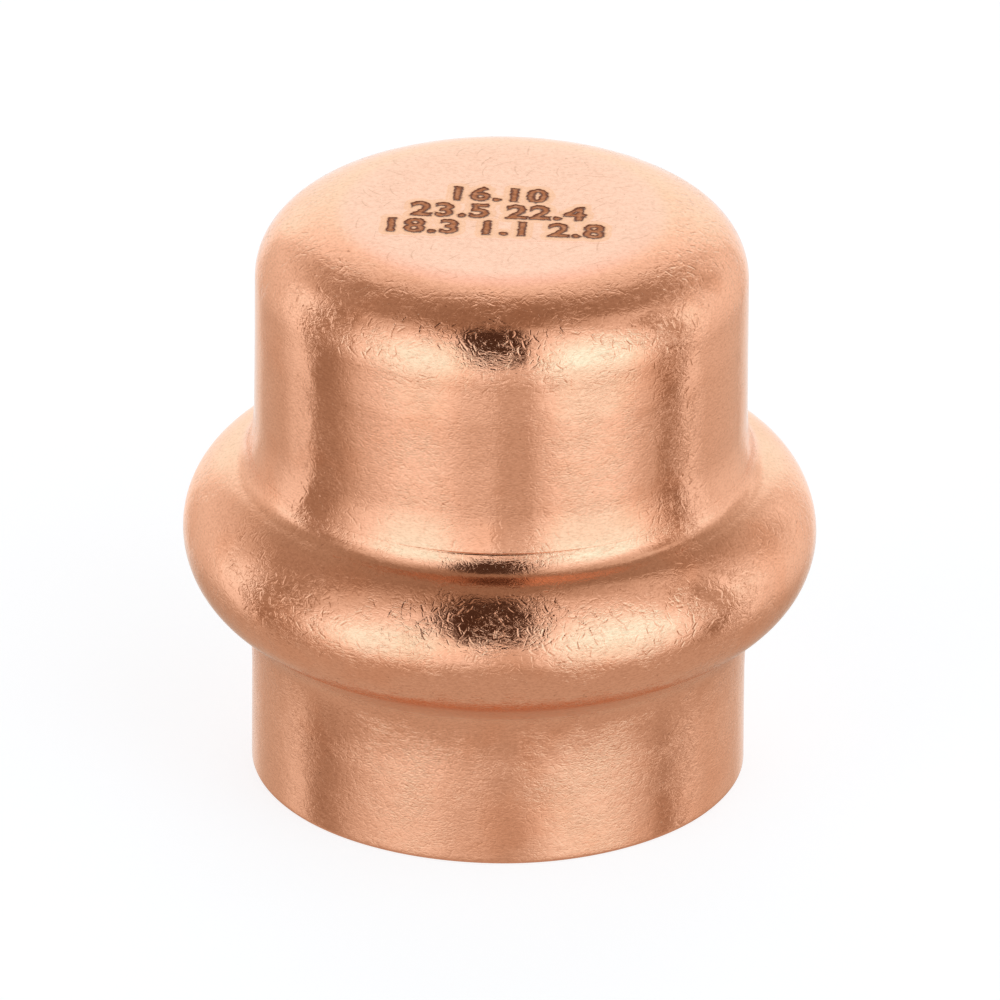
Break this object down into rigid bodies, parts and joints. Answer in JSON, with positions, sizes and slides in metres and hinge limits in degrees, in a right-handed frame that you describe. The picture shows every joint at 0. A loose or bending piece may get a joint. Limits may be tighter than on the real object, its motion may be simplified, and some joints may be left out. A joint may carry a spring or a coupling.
{
  "type": "press-connect pipe cap",
  "caption": "Round copper end cap with a rolled bead and a rubber sealing ring, pressed onto a tube end to close it.",
  "frame": {"origin": "centre of the mouth, in the plane of its rim", "axes": "+Z along the axis from the mouth to the closed end; X and Y are alike, because the cap is round"},
  "size_m": [0.0234, 0.0234, 0.0224],
  "materials": {
    "copper": "satin",
    "seal_rubber": "satin"
  },
  "bodies": {
    "root": {"cap_body": "copper", "sealing_ring": "seal_rubber"}
  },
  "joints": []
}
